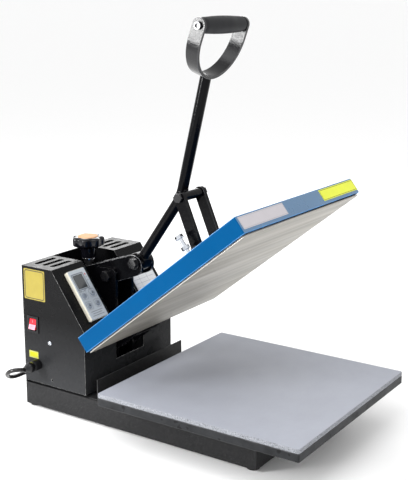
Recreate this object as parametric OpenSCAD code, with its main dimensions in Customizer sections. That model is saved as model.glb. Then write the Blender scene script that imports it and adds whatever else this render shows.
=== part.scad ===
// Clamshell heat press with a swing-up upper platen, an over-centre
// lever, a pressure screw and a two-tower housing.
// Millimetres, +Z up, +X to the operator's right, operator at -Y.
// The origin is the middle of the footprint on the floor.

/* [Platens] */
// Side of the square pressing area
pad_side = 380; // [360:2:380]
// Thickness of the silicone pad
pad_t = 8; // [5:0.5:8]
// Thickness of the lower plate under the pad
lower_plate_t = 13.3; // [8:0.1:13.3]
// Width of the upper platen cover
cover_w = 382; // [370:2:384]
// Length of the upper platen cover, hinge side to operator side
cover_l = 389.6; // [380:0.2:389.6]
// Height of the upper platen cover
cover_h = 28.8; // [26:0.2:29]
// How far the heating plate stands below the cover
plate_proud = 3.7; // [2:0.1:3.7]
// Opening angle of the upper platen
open_angle = 38.7; // [38.7]

/* [Body] */
// Width of the base and the housing
body_w = 257.2; // [250:0.4:258]
// Length of the base
base_l = 492; // [492]
// Height of the base
base_h = 41; // [40:0.2:44.4]
// Height of the rubber feet
foot_h = 4; // [3:0.5:6]
// Top of the housing above the underside of the base
housing_top = 262.5; // [262.5]
// Gap between the two towers
tower_gap = 93.6; // [90:0.4:94]
// Length of the top cooling slots
slot_l = 53; // [40:1:60]
// Width of the top cooling slots
slot_w = 10.5; // [6:0.5:12]

/* [Lever] */
// Outer diameter of the lever tube
tube_d = 19; // [17:0.5:20]
// Wall of the lever tube
tube_wall = 2; // [1.5:0.5:3]
// Length of the straight tube above the bend
tube_l = 213; // [180:1:230]
// Width of the flat bar of the handle bow
bow_w = 25; // [20:1:26]
// Outside width of the handle bow
bow_out = 133.4; // [120:0.2:136]
// Largest diameter of the grip
grip_d = 29; // [26:0.5:31]

/* [Links] */
// Width of the flat links
link_w = 20.6; // [18:0.2:21]
// Thickness of the flat links
link_t = 8; // [6:0.5:8]
// Hole distance of the links
link_l = 92; // [92]

/* [Knob] */
// Diameter of the pressure knob over its lobes
knob_d = 61; // [52:1:64]
// Number of lobes on the pressure knob
knob_lobes = 7; // [5:1:9]
// Diameter of the coloured knob cap
cap_d = 38; // [30:1:38]

/* [Controller] */
// Width of the controller
ctrl_w = 44; // [40:1:48]
// Length of the controller along the slope
ctrl_l = 97; // [90:1:106]
// Height of the controller above the slope
ctrl_h = 9; // [6:0.5:10]

/* [Mains lead] */
// Diameter of the mains lead
cord_d = 7.6; // [7:0.1:8]
// Middle diameter of the turns of the coiled part
coil_mid = 86; // [76:1:92]

/* [Hidden] */
$fn = 64;

// middle of the footprint in the drawing frame, whose y = 0 is the pad's middle
yc = 110.7;
body_h2 = body_w / 2;
base_y0 = 410 - base_l;
base_y1 = 410;
plate_z0 = 67;
pad_z0 = plate_z0 + lower_plate_t;
pad_z1 = pad_z0 + pad_t;
half_gap = tower_gap / 2;
sheet = 1.6;

// housing outline, side view
hy0 = 267.6;
hy1 = 408.4;
hyt = 339.7;
hz0 = 45.4;
hzk = 160.8;
slope_a = atan2(hyt - hy0, housing_top - hzk);
slope_len = sqrt(pow(hyt - hy0, 2) + pow(housing_top - hzk, 2));

// pivots, side view (y, z)
H = [292, 101.5];
B = [298, 236];
A = [241, 266];
K = [132, 399.5];
bend = [151.5, 393.5];
// direction of the links from the knee down to the platen
link_a = atan2(-0.9205, -0.3907);
P = [K[0] + link_l * cos(link_a), K[1] + link_l * sin(link_a)];
// rear lower edge of the open platen cover
edge = [210.4, 155.1];
tube_tilt = 13.66;
bow_tilt = 19.8;
crank_v = [A[0] - bend[0], A[1] - bend[1]];
crank_l = norm(crank_v);
crank_tilt = atan2(crank_v[0], -crank_v[1]);
link_in = 26;
pin_clear = 0.06;
screw_y = 363;
arm_in = 12.6;
arm_out = 18.6;
post_in = 20.2;
post_out = 26.2;
harm_in = 27.4;
harm_out = 33.4;

module place() { translate([0, -yc, foot_h]) children(); }
// axis along x, centred
module xcyl(r, l, p, x = 0) { translate([x, p[0], p[1]]) rotate([0, 90, 0]) cylinder(r = r, h = l, center = true); }
// side-view plate between x0 and x1, given in (y, z)
module side_plate(x0, x1) { translate([x0, 0, 0]) rotate([90, 0, 90]) linear_extrude(height = x1 - x0) children(); }
// rounded rectangle made of true arcs
module rrect(w, h, r) {
    union() {
        square([w - 2 * r, h], center = true);
        square([w, h - 2 * r], center = true);
        for (sx = [-1, 1], sy = [-1, 1]) translate([sx * (w / 2 - r), sy * (h / 2 - r)]) circle(r = r, $fn = 32);
    }
}
// long slot along x
module slot2d(l, w) {
    union() {
        square([l - w, w], center = true);
        for (s = [-1, 1]) translate([s * (l - w) / 2, 0]) circle(d = w, $fn = 32);
    }
}
// platen frame: x across, -y away from the hinge, z out of the back of the platen
module platen() { translate([0, edge[0], edge[1]]) rotate([-open_angle, 0, 0]) children(); }
// slope frame: x across, -y down the slope, z out of the slope
module slope() { translate([0, hyt, housing_top]) rotate([90 - slope_a, 0, 0]) children(); }
// frame of the straight lever tube, z along the tube from the bend
module tube_frame() { translate([0, bend[0], bend[1]]) rotate([tube_tilt, 0, 0]) children(); }
// frame of the handle bow, z along the bow from the tube's end
module bow_frame() { tube_frame() translate([0, 0, tube_l]) rotate([bow_tilt - tube_tilt, 0, 0]) children(); }
// hexagon head with a shallow washer face, along +x from x = 0
module hex_head(af, h) { rotate([0, 90, 0]) rotate([0, 0, 30]) cylinder(d = af / cos(30), h = h, $fn = 6); }
module pan_head(r, h) { union() { cylinder(r = r, h = h * 0.55, $fn = 32); translate([0, 0, h * 0.55]) cylinder(r1 = r, r2 = r * 0.72, h = h * 0.45, $fn = 32); } }

// ---------------------------------------------------------------- base
module base_frame() color([0.13, 0.13, 0.14]) place() difference() {
    union() {
        difference() {
            translate([-body_h2, base_y0, 0]) cube([body_w, base_l, base_h]);
            translate([-body_h2 + 2.5, base_y0 + 2.5, -1]) cube([body_w - 5, base_l - 5, base_h - 1.5]);
        }
        // corner tabs that take the feet
        for (sx = [-1, 1]) for (y = [base_y0 + 1, base_y1 - 33]) translate([sx > 0 ? body_h2 - 33 : -body_h2 + 1, y, 0]) cube([32, 32, 3]);
    }
    for (sx = [-1, 1]) for (y = [300, 385]) translate([sx * 13, y, base_h - 5]) cylinder(r = 3.2, h = 8);
    for (sx = [-1, 1]) for (y = [base_y0 + 13, base_y1 - 13]) translate([sx * (body_h2 - 13), y, -1]) cylinder(r = 3.2, h = 8);
}
module rubber_feet() color([0.05, 0.05, 0.05]) place()
    for (sx = [-1, 1]) for (y = [base_y0 + 13, base_y1 - 13]) translate([sx * (body_h2 - 13), y, -foot_h]) union() {
        cylinder(r1 = 10.4, r2 = 12, h = foot_h, $fn = 48);
        cylinder(r = 3.2, h = foot_h + 9, $fn = 32);
        translate([0, 0, foot_h + 3]) cylinder(d = 13, h = 4.5, $fn = 6);
    }
module support_rails() color([0.12, 0.12, 0.13]) place()
    for (sx = [-1, 1]) translate([sx * 70, 0, base_h]) difference() {
        translate([-20, -60, 0]) cube([40, 230, plate_z0 - base_h]);
        translate([-17, -61, 3]) cube([34, 232, plate_z0 - base_h - 6]);
    }
// steel plate with three lightening pockets in its underside
module lower_plate() color([0.16, 0.16, 0.17]) place() difference() {
    translate([0, 0, plate_z0]) linear_extrude(height = lower_plate_t) rrect(pad_side, pad_side, 3);
    translate([-46, -170, plate_z0 - 1]) cube([92, 340, 8]);
    for (sx = [-1, 1]) translate([sx * 133 - 40, -170, plate_z0 - 1]) cube([80, 340, 8]);
}
module silicone_pad() color([0.62, 0.63, 0.67]) place()
    translate([0, 0, pad_z0]) linear_extrude(height = pad_t) rrect(pad_side, pad_side, 4);
module heat_shield() color([0.07, 0.07, 0.07]) place() side_plate(-127, 127)
    polygon([[241, base_h], [262, base_h], [262, base_h + 2], [243, base_h + 2], [243, 80], [241, 80]]);

// ------------------------------------------------------------- housing
module tower_outline() polygon([[hy0, hz0], [hy1, hz0], [hy1, housing_top], [hyt, housing_top], [hy0, hzk]]);
module tower_inside() polygon([[hy0 + sheet, hz0 - 1], [hy1 + 1, hz0 - 1], [hy1 + 1, housing_top - sheet],
    [hyt + 0.8, housing_top - sheet], [hy0 + sheet, hzk - 0.5]]);
module housing_shell() color([0.09, 0.09, 0.09]) place() difference() {
    union() {
        for (sx = [-1, 1]) difference() {
            side_plate(sx > 0 ? half_gap : -body_h2, sx > 0 ? body_h2 : -half_gap) tower_outline();
            side_plate(sx > 0 ? half_gap + sheet : -body_h2 + sheet, sx > 0 ? body_h2 - sheet : -half_gap - sheet) tower_inside();
            // top cooling slots
            for (y = [356, 374.5, 393]) translate([sx * 84, y, housing_top - 4]) linear_extrude(height = 8) slot2d(slot_l, slot_w);
        }
        // pads that stand on the base
        for (sx = [-1, 1]) for (y = [hy0 + 8, hy1 - 22]) {
            translate([sx > 0 ? body_h2 - 20 : -body_h2 + 8, y, base_h]) cube([12, 14, hz0 - base_h + 1.2]);
            translate([sx > 0 ? body_h2 - 20 : -body_h2 + 1, y, hz0]) cube([19, 14, 1.2]);
        }
        // front wall across the gap, open in the middle for the hinge arms
        translate([-half_gap - 1, hy0, hz0]) cube([tower_gap + 2, sheet, 88 - hz0]);
        for (sx = [-1, 1]) translate([sx > 0 ? 41 : -half_gap - 1, hy0, hz0]) cube([half_gap + 1 - 41, sheet, hzk - hz0]);
    }
    // switch cut-out, cable hole and side screw holes
    translate([-body_h2 - 1, sw[0], sw[1]]) cube([6, 24, 27], center = true);
    xcyl(8.2, 8, gl, -body_h2);
    for (sx = [-1, 1]) { xcyl(2.2, 8, [348, 126.6], sx * body_h2); xcyl(2, 8, [345.7, 56.9], sx * body_h2); }
}
module rear_panel() color([0.09, 0.09, 0.09]) place() difference() {
    translate([-body_h2, hy1, base_h + 0.2]) cube([body_w, sheet, housing_top - base_h - 0.2]);
    for (sx = [-1, 1]) for (i = [0:5]) translate([sx * 87, hy1 - 1, 110 + i * 13]) rotate([-90, 0, 0]) linear_extrude(height = 4) slot2d(50, 5);
    for (sx = [-1, 1]) for (z = [58, 150, 250]) translate([sx * 120, hy1 - 1, z]) rotate([-90, 0, 0]) cylinder(r = 1.7, h = 4, $fn = 32);
}
module housing_screws() color([0.75, 0.75, 0.76]) place()
    for (sx = [-1, 1]) translate([sx * body_h2, 348, 126.6]) rotate([0, sx * 90, 0]) union() {
        pan_head(4.2, 2.6);
        translate([0, 0, -8]) cylinder(r = 2, h = 8.2, $fn = 32);
    }
module sheet_screws() color([0.1, 0.1, 0.1]) place()
    for (sx = [-1, 1]) for (z = [58, 150, 250]) translate([sx * 120, hy1, z]) rotate([-90, 0, 0]) union() { translate([0, 0, -5]) cylinder(r = 1.7, h = 6.6, $fn = 32); translate([0, 0, 1.6]) cylinder(r1 = 3.4, r2 = 2.6, h = 1.4, $fn = 32); }

// ------------------------------------------- uprights, arm and its screw
module upright(x0, x1, foot_x0, foot_x1) difference() {
    union() {
        side_plate(x0, x1) polygon([[278, base_h], [392, base_h], [392, 74], [346, 176], [346, 208], [324, 246], [320, 250], [284, 250], [278, 244]]);
        translate([foot_x0, 278, base_h]) cube([foot_x1 - foot_x0, 114, 5]);
    }
    xcyl(8, 200, H);
    xcyl(6, 200, B);
}
module upright_left() color([0.08, 0.08, 0.08]) place() difference() {
    upright(-post_out, -post_in, -post_out, -7);
    for (y = [300, 385]) translate([-13, y, base_h - 1]) cylinder(r = 3.3, h = 8);
}
module upright_right() color([0.08, 0.08, 0.08]) place() difference() {
    upright(post_in, post_out, 7, post_out);
    for (y = [300, 385]) translate([13, y, base_h - 1]) cylinder(r = 3.3, h = 8);
}
module upright_screws() color([0.5, 0.5, 0.52]) place()
    for (sx = [-1, 1]) for (y = [300, 385]) translate([sx * 13, y, base_h + 5]) union() {
        cylinder(d = 11.5, h = 5, $fn = 6);
        translate([0, 0, -12]) cylinder(r = 3.2, h = 13, $fn = 32);
    }
module hinge_pin() color([0.55, 0.55, 0.57]) place() union() {
    xcyl(8, 2 * 37.5, H);
    for (sx = [-1, 1]) xcyl(11, 3, H, sx * 37);
}
module arm_pivot_bolt() color([0.35, 0.35, 0.36]) place() union() {
    xcyl(6, 2 * post_out + 4, B);
    translate([-post_out - 7.5, B[0], B[1]]) hex_head(18, 7.5);
    translate([post_out, B[0], B[1]]) hex_head(18, 9);
}
// saddle between the uprights that carries the foot of the pressure screw
module screw_rest() color([0.08, 0.08, 0.08]) place() difference() {
    union() {
        translate([-post_in, 330, 168]) cube([2 * post_in, 46, 8]);
        translate([-post_in, 330, 150]) cube([2 * post_in, 6, 20]);
    }
    translate([0, screw_y, 173]) cylinder(r = 6.4, h = 6);
}
module arm_outline() union() {
    polygon([[A[0] + 8, A[1] + 13.1], [336, 249.6], [382, 234.3], [382, 214], [330, 214], [300, 219], [276, 228], [A[0] - 4.4, A[1] - 22.7]]);
    translate([A[0] + 2.5, A[1] - 5]) circle(r = 19);
}
module pressure_arm() color([0.07, 0.07, 0.07]) place() difference() {
    union() {
        for (sx = [-1, 1]) side_plate(sx > 0 ? arm_in : -arm_out, sx > 0 ? arm_out : -arm_in) arm_outline();
        // top web and rear nut block
        side_plate(-arm_in - 0.5, arm_in + 0.5) polygon([[268, 268.2], [336, 245.4], [336, 249.4], [268, 272.1]]);
        side_plate(-arm_in - 0.5, arm_in + 0.5) polygon([[344, 216], [381, 216], [381, 233.6], [344, 245.8]]);
    }
    xcyl(6 + pin_clear, 100, B);
    xcyl(10.2, 100, A);
    translate([0, screw_y, 200]) cylinder(r = 7.4, h = 60);
}
module pressure_screw() color([0.6, 0.6, 0.62]) place() translate([0, screw_y, 0]) union() {
    translate([0, 0, 173.4]) cylinder(r = 6, h = 103);
    translate([0, 0, 247]) cylinder(d = 19, h = 6, $fn = 6);
}
module pressure_knob() color([0.05, 0.05, 0.05]) place() translate([0, screw_y, 0]) difference() {
    union() {
        translate([0, 0, 256]) cylinder(r = 13.8, h = 22);
        translate([0, 0, 277]) linear_extrude(height = 19) union() {
            circle(r = knob_d / 2 - 4.5);
            for (i = [0:knob_lobes - 1]) rotate(i * 360 / knob_lobes) translate([knob_d / 2 - 8, 0]) circle(r = 8, $fn = 40);
        }
    }
    translate([0, 0, 250]) cylinder(r = 6, h = 26.4);
    translate([0, 0, 293]) cylinder(r = cap_d / 2, h = 10);
}
module knob_cap() color([0.93, 0.55, 0.38]) place() translate([0, screw_y, 293]) union() {
    cylinder(r = cap_d / 2, h = 3.6);
    translate([0, 0, 3.6]) cylinder(r1 = cap_d / 2, r2 = cap_d / 2 - 2.2, h = 1.4);
}
module knob_washer() color([0.85, 0.85, 0.87]) place() translate([0, screw_y, 253]) difference() {
    cylinder(r = 12.6, h = 3);
    translate([0, 0, -1]) cylinder(r = 6, h = 5);
}

// --------------------------------------------------------------- lever
module lever_tube() color([0.05, 0.05, 0.05]) place() difference() {
    union() {
        tube_frame() translate([0, 0, 11]) cylinder(d = tube_d, h = tube_l - 11);
        translate([0, bend[0], bend[1]]) rotate([180 + crank_tilt, 0, 0]) translate([0, 0, 11]) cylinder(d = tube_d, h = crank_l - 21);
        bend_piece(tube_d / 2 + 0.3);
    }
    tube_frame() translate([0, 0, 16]) cylinder(d = tube_d - 2 * tube_wall, h = tube_l);
    translate([0, A[0], A[1]]) rotate([0, 90, 0]) cylinder(r = 17, h = 60, center = true);
}
// elbow that joins the two straight runs with one smooth arc
elbow_a = crank_tilt - tube_tilt;
elbow_r = 12 / tan(elbow_a / 2);
module bend_piece(r) tube_frame() translate([0, elbow_r, 12]) rotate([90, 0, 90]) rotate([0, 0, 180])
    rotate_extrude(angle = elbow_a, $fn = 120) translate([elbow_r, 0]) circle(r = r, $fn = 48);
module lever_hub() color([0.05, 0.05, 0.05]) place() difference() {
    xcyl(17, 2 * 11.4, A);
    xcyl(8, 60, A);
}
// shoulder bolt of the lever pivot, turning with the lever
module lever_pivot_bolt() color([0.3, 0.3, 0.31]) place() union() {
    xcyl(8, 2 * 20, A);
    for (sx = [-1, 1]) xcyl(11.4, 2, A, sx * 20.6);
    translate([-21.6 - 5.5, A[0], A[1]]) hex_head(16, 6);
    translate([21, A[0], A[1]]) hex_head(16, 6);
}
module knee_tube() color([0.1, 0.1, 0.1]) place() difference() {
    union() {
        xcyl(8.3, 2 * (link_in - 0.5), K);
        side_plate(-7, 7) polygon([[K[0] - 4, K[1] - 7.2], [K[0] + 9, K[1] - 9], [K[0] + 13, K[1] + 2], [K[0] + 8, K[1] + 9], [K[0] - 2, K[1] + 8]]);
    }
    xcyl(5, 100, K);
    tube_frame() translate([0, 0, -30]) cylinder(r = tube_d / 2 - 0.4, h = 120);
}
module knee_bolt() color([0.08, 0.08, 0.08]) place() union() {
    xcyl(5, 2 * (link_in + link_t) + 4, K);
    translate([-link_in - link_t - 6, K[0], K[1]]) hex_head(15, 5.6);
    translate([link_in + link_t + 0.4, K[0], K[1]]) hex_head(15, 5.6);
}
bow_r = bow_out / 2;
bow_s = 89 - bow_r;
module bow_outline() difference() {
    union() {
        translate([0, bow_r]) circle(r = bow_r, $fn = 120);
        translate([-bow_r, bow_r]) square([bow_out, bow_s + 12.5]);
    }
    translate([0, bow_r]) circle(r = bow_r - 5, $fn = 120);
    translate([-bow_r + 5, bow_r]) square([bow_out - 10, 100]);
}
module handle_bow() color([0.05, 0.05, 0.05]) place() bow_frame() difference() {
    intersection() {
        translate([0, bow_w / 2, 0]) rotate([90, 0, 0]) linear_extrude(height = bow_w) bow_outline();
        union() {
            translate([-100, -bow_w / 2 - 1, -10]) cube([200, bow_w + 2, 99 + 0]);
            translate([0, 0, 89]) rotate([0, 90, 0]) cylinder(r = bow_w / 2, h = 200, center = true);
        }
    }
    translate([0, 0, 89]) rotate([0, 90, 0]) cylinder(r = 4.2, h = 200, center = true);
}
function grip_r(t) = 12.4 + (grip_d / 2 - 12.4) * sin(180 * t);
module handle_grip() color([0.2, 0.2, 0.21]) place() bow_frame() translate([0, 0, 89]) rotate([0, 90, 0])
    rotate_extrude($fn = 72) polygon(concat([[4.26, -bow_r + 5.6]], [for (i = [0:16]) [grip_r(i / 16) - (i == 0 || i == 16 ? 1.2 : 0), -bow_r + 5.6 + (bow_out - 11.2) * i / 16]], [[4.26, bow_r - 5.6]]));
module grip_bolt() color([0.45, 0.45, 0.46]) place() bow_frame() translate([0, 0, 89]) rotate([0, 90, 0]) union() {
    cylinder(r = 4.2, h = bow_out + 4, center = true);
    difference() { translate([0, 0, -bow_r - 4.4]) cylinder(r = 6.6, h = 4.4); translate([0, 0, -bow_r - 5]) cylinder(d = 7, h = 3.6, $fn = 6); }
    translate([0, 0, bow_r]) cylinder(d = 14, h = 5, $fn = 6);
}

// --------------------------------------------------------------- links
module link(x0) difference() {
    side_plate(x0, x0 + link_t) union() {
        translate(K) circle(d = link_w);
        translate(P) circle(d = link_w);
        translate(K) rotate(link_a) translate([0, -link_w / 2]) square([link_l, link_w]);
    }
    xcyl(5 + pin_clear, 200, K);
    xcyl(5, 200, P);
}
module link_left() color([0.05, 0.05, 0.05]) place() link(-link_in - link_t);
module link_right() color([0.05, 0.05, 0.05]) place() link(link_in);
module link_end_bolts() color([0.08, 0.08, 0.08]) place() for (sx = [-1, 1]) union() {
    xcyl(5, link_t, P, sx * (link_in + link_t / 2));
    translate([sx > 0 ? link_in + link_t : -link_in - link_t - 5.6, P[0], P[1]]) hex_head(15, 5.6);
}

// -------------------------------------------------------- upper platen
// P in the platen frame
ps = (edge[0] - P[0]) * cos(open_angle) + (P[1] - edge[1]) * sin(open_angle);
ph = (P[0] - edge[0]) * sin(open_angle) + (P[1] - edge[1]) * cos(open_angle);
// H in the platen frame
hs = (edge[0] - H[0]) * cos(open_angle) + (H[1] - edge[1]) * sin(open_angle);
hh = (H[0] - edge[0]) * sin(open_angle) + (H[1] - edge[1]) * cos(open_angle);
module platen_bracket() color([0.06, 0.06, 0.06]) place() platen() difference() {
    union() {
        translate([-25, -ps - 46, cover_h]) cube([50, 92, 5]);
        for (sx = [-1, 1]) side_plate(sx > 0 ? 18 : -25, sx > 0 ? 25 : -18) union() {
            polygon([[-ps - 30, cover_h], [-ps + 30, cover_h], [-ps + 11, ph + 4], [-ps - 11, ph + 4]]);
            translate([-ps, ph]) circle(r = 11.7);
        }
        translate([-18.5, -ps - 24, cover_h]) cube([37, 6, 16]);
    }
    xcyl(5, 200, [-ps, ph]);
    for (s = [-1, 1]) translate([0, -ps + s * 36, cover_h - 1]) cylinder(r = 4, h = 8);
}
module bracket_bolts() color([0.55, 0.55, 0.57]) place() platen() for (s = [-1, 1]) translate([0, -ps + s * 36, cover_h]) union() {
    translate([0, 0, 5]) cylinder(d = 15, h = 5.5, $fn = 6);
    cylinder(r = 4, h = 6);
}
module platen_cover() color([0.04, 0.33, 0.68]) place() platen() difference() {
    translate([0, -cover_l / 2, 0]) linear_extrude(height = cover_h) rrect(cover_w, cover_l, 3);
    translate([0, -cover_l / 2, -1]) linear_extrude(height = cover_h - 0.5) rrect(cover_w - 4, cover_l - 4, 2);
    // notches for the hinge arms in the rear wall
    for (sx = [-1, 1]) translate([sx * (harm_in + harm_out) / 2 - 3.05, -3, -2]) cube([6.1, 6, 24.2]);
}
module heating_plate() color([0.72, 0.7, 0.65]) place() platen() translate([0, -cover_l / 2, -plate_proud]) union() {
    linear_extrude(height = 2.1) rrect(cover_w - 6, cover_l - 6.4, 5);
    linear_extrude(height = 14) rrect(cover_w - 14, cover_l - 14.4, 4);
}
module heating_element() color([0.5, 0.42, 0.36]) place() platen() translate([0, -cover_l / 2, 14.4]) union() {
    for (i = [-3:3]) translate([i * 44, 0, 0]) rotate([90, 0, 0]) cylinder(r = 4, h = 300, center = true);
    for (i = [-3:2]) translate([i * 44 + 22, (i % 2 == 0 ? 1 : -1) * 150, 0]) rotate([0, 0, i % 2 == 0 ? 0 : 180]) rotate_extrude(angle = 180, $fn = 64) translate([22, 0]) circle(r = 4, $fn = 32);
}
module insulation_board() color([0.8, 0.78, 0.7]) place() platen()
    translate([-cover_w / 2 + 6, -cover_l + 6, 18.6]) cube([cover_w - 12, cover_l - 12, 7.4]);
module hinge_arms() color([0.06, 0.06, 0.06]) place() platen() difference() {
    union() {
        for (sx = [-1, 1]) side_plate(sx > 0 ? harm_in : -harm_out, sx > 0 ? harm_out : -harm_in) union() {
            translate([-hs, hh]) circle(r = 15);
            translate([-3, hh - 11]) square([-hs + 3, 22]);
        }
        // flanges against the rear wall of the cover
        for (sx = [-1, 1]) translate([sx > 0 ? harm_in : -harm_in - 34, 0, 2]) cube([34, 4, 23]);
        // tie between the two arms
        translate([-harm_in - 1, 30, hh - 11]) cube([2 * harm_in + 2, 5, 22]);
    }
    xcyl(8 + pin_clear, 200, [-hs, hh]);
}
module platen_bolt() color([0.78, 0.8, 0.84]) place() platen() translate([-52, -184.5, cover_h]) union() {
    cylinder(r = 4, h = 58, $fn = 40);
    translate([0, 0, 54]) cylinder(d = 15, h = 5.3, $fn = 6);
    translate([0, 0, 53]) cylinder(r = 8, h = 1.2, $fn = 40);
    translate([0, 0, 32]) cylinder(d = 15, h = 6.5, $fn = 6);
    cylinder(d = 15, h = 6.5, $fn = 6);
}

// ---------------------------------------------------------- controller
ctrl_x = -82.2;
ctrl_s = 14 + ctrl_l / 2;
key_pos = [[-93, 64], [-71, 64], [-93, 84], [-71, 84]];
module controller_body() color([0.87, 0.85, 0.78]) place() slope() difference() {
    translate([ctrl_x, -ctrl_s, 0]) linear_extrude(height = ctrl_h - 1) rrect(ctrl_w, ctrl_l, 2);
    translate([ctrl_x, -ctrl_s, -1]) linear_extrude(height = ctrl_h - 2) rrect(ctrl_w - 4, ctrl_l - 4, 1);
    translate([-85, -37.5, 0]) cube([28, 28, 30], center = true);
    for (p = key_pos) translate([p[0], -p[1], -1]) cylinder(r = 5.8, h = 20);
}
module controller_face() color([0.62, 0.65, 0.68]) place() slope() difference() {
    translate([ctrl_x, -ctrl_s, ctrl_h - 1]) linear_extrude(height = 1) rrect(ctrl_w - 1.2, ctrl_l - 1.2, 1.6);
    translate([-85, -37.5, ctrl_h]) cube([25.6, 26.6, 6], center = true);
    for (p = key_pos) translate([p[0], -p[1], 0]) cylinder(r = 5.8, h = 20);
    translate([-65.7, -27, 0]) cylinder(r = 1.6, h = 20, $fn = 32);
}
module display_window() color([0.25, 0.27, 0.26]) place() slope() translate([-85, -37.5, ctrl_h - 2]) cube([27.6, 27.6, 2], center = true);
module key_cap(p) place() slope() translate([p[0], -p[1], ctrl_h - 3.4]) union() {
    cylinder(r = 5.4, h = 4.6, $fn = 48);
    cylinder(r = 3, h = 1, $fn = 32);
}
module key_set() color([0.5, 0.53, 0.57]) key_cap(key_pos[0]);
module key_down() color([0.5, 0.53, 0.57]) key_cap(key_pos[1]);
module key_up() color([0.5, 0.53, 0.57]) key_cap(key_pos[2]);
module key_menu() color([0.5, 0.53, 0.57]) key_cap(key_pos[3]);
module status_lamp() color([0.7, 0.1, 0.08]) place() slope() translate([-65.7, -27, ctrl_h - 1]) union() { cylinder(r = 1.5, h = 1.4, $fn = 32); }

// ------------------------------------------------- switch, gland, cord
sw = [387, 155];
module switch_frame() color([0.06, 0.06, 0.06]) place() difference() {
    union() {
        translate([-body_h2 - 0.9, sw[0], sw[1]]) cube([1.8, 27, 31], center = true);
        translate([-body_h2 + 7, sw[0], sw[1]]) cube([14.2, 23.6, 26.6], center = true);
    }
    translate([-body_h2 + 2, sw[0], sw[1]]) cube([16, 16.6, 22.6], center = true);
}
// rocker: two shallow faces that meet over the pivot, lower end standing out
rock_p = [-body_h2 + 2, sw[0], sw[1]];
module switch_rocker() color([0.85, 0.08, 0.1]) place() translate(rock_p) rotate([90, 0, 0]) translate([0, 0, -7.9])
    linear_extrude(height = 15.8) polygon([[-2.2, 10.2], [-4.2, 0], [-7.3, -8.3], [-6.4, -8.9], [1.5, -7], [3.5, -3], [3.5, 3], [1.5, 7], [-1, 10.4]]);
gl = [378.5, 81];
module cable_gland() color([0.05, 0.05, 0.05]) place() translate([-body_h2, gl[0], gl[1]]) rotate([0, -90, 0]) difference() {
    union() {
        cylinder(r = 9.8, h = 13);
        translate([0, 0, 13]) cylinder(r1 = 9.8, r2 = 8.4, h = 2.5);
        translate([0, 0, -12]) cylinder(r = 8, h = 13);
        translate([0, 0, -6.1]) cylinder(d = 23, h = 4.5, $fn = 6);
    }
    translate([0, 0, -13]) cylinder(r = cord_d / 2 + 1.6, h = 60);
}
module strain_relief() color([0.04, 0.04, 0.04]) place() translate([-body_h2, gl[0], gl[1]]) rotate([0, -90, 0]) union() {
    translate([0, 0, -11.5]) cylinder(r = cord_d / 2 + 1.6, h = 27.1);
    translate([0, 0, 15.6]) cylinder(r1 = 8.4, r2 = 9.6, h = 2.4);
    translate([0, 0, 18]) cylinder(r = 9.6, h = 7);
    translate([0, 0, 25]) cylinder(r1 = 9.6, r2 = 7.4, h = 4);
    translate([0, 0, 29]) cylinder(r1 = 7.4, r2 = 4.5, h = 7);
}
// route of the lead from the strain relief to the coil, drawing frame
cord_pts = [[-164.6, 378.5, 81], [-170, 379.2, 82.6], [-176, 382, 83.8], [-180.8, 387.2, 83.4], [-182.8, 394, 80.8], [-182, 401, 76.4],
    [-178.4, 407.4, 70.8], [-172, 412, 65], [-163, 414.8, 59.8], [-152, 416.2, 56.6], [-140, 417.2, 55], [-127, 418.8, 54], [-114, 421.4, 51.6], [-101, 424.6, 47.4],
    [-87, 428.2, 41], [-72, 431.6, 32.4], [-57, 434.6, 23], [-42, 437.2, 14], [-27, 439.6, 6.6], [-12, 441.4, 1.8], [4, 442.6, 0], [20, 443, 0], [36, 443, 0], [47, 443, 0]];
// short end of the lead from the coil's top turn to the plug
tail_pts = [[60, 440, 15], [68, 440, 14.8], [76, 440, 14.7], [85, 440, 14.6]];
function unit(v) = v / norm(v);
function tang(p, i) = unit(p[min(len(p) - 1, i + 1)] - p[max(0, i - 1)]);
function side_of(t) = unit(cross(t, [0, 0, 1]));
module sweep_tube(p, r, k) {
    n = len(p);
    pts = [for (i = [0:n - 1]) let(t = tang(p, i), u = side_of(t), w = cross(u, t)) for (j = [0:k - 1]) p[i] + r * (cos(360 * j / k) * u + sin(360 * j / k) * w)];
    faces = concat([[for (j = [0:k - 1]) j]],
        [for (i = [0:n - 2]) for (j = [0:k - 1]) [i * k + j, (i + 1) * k + j, (i + 1) * k + (j + 1) % k, i * k + (j + 1) % k]],
        [[for (j = [k - 1:-1:0]) (n - 1) * k + j]]);
    polyhedron(points = pts, faces = faces, convexity = 6);
}
module mains_cord() color([0.03, 0.03, 0.03]) place() union() {
    sweep_tube(cord_pts, cord_d / 2, 10);
    sweep_tube(tail_pts, cord_d / 2, 10);
}
coil_c = [47, 443 + coil_mid / 2];
module cord_coil() color([0.03, 0.03, 0.03]) place() translate([coil_c[0], coil_c[1], -foot_h]) rotate_extrude($fn = 96)
    translate([coil_mid / 2 - cord_d, 0]) square([2 * cord_d, 3 * cord_d]);
plug_p = [129, 440];
module mains_plug() color([0.04, 0.04, 0.04]) place() translate([plug_p[0], plug_p[1], -foot_h + 18.6]) rotate([0, 90, 0]) union() {
    cylinder(r = 18.5, h = 26);
    translate([0, 0, -16]) cylinder(r1 = 9, r2 = 15, h = 16);
    translate([0, 0, -44]) cylinder(r1 = 4.6, r2 = 8, h = 28);
    for (sy = [-1, 1]) translate([0, sy * 9.5, 26]) union() { cylinder(r = 2.4, h = 17, $fn = 32); translate([0, 0, 17]) cylinder(r1 = 2.4, r2 = 1.2, h = 2, $fn = 32); }
}

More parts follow.
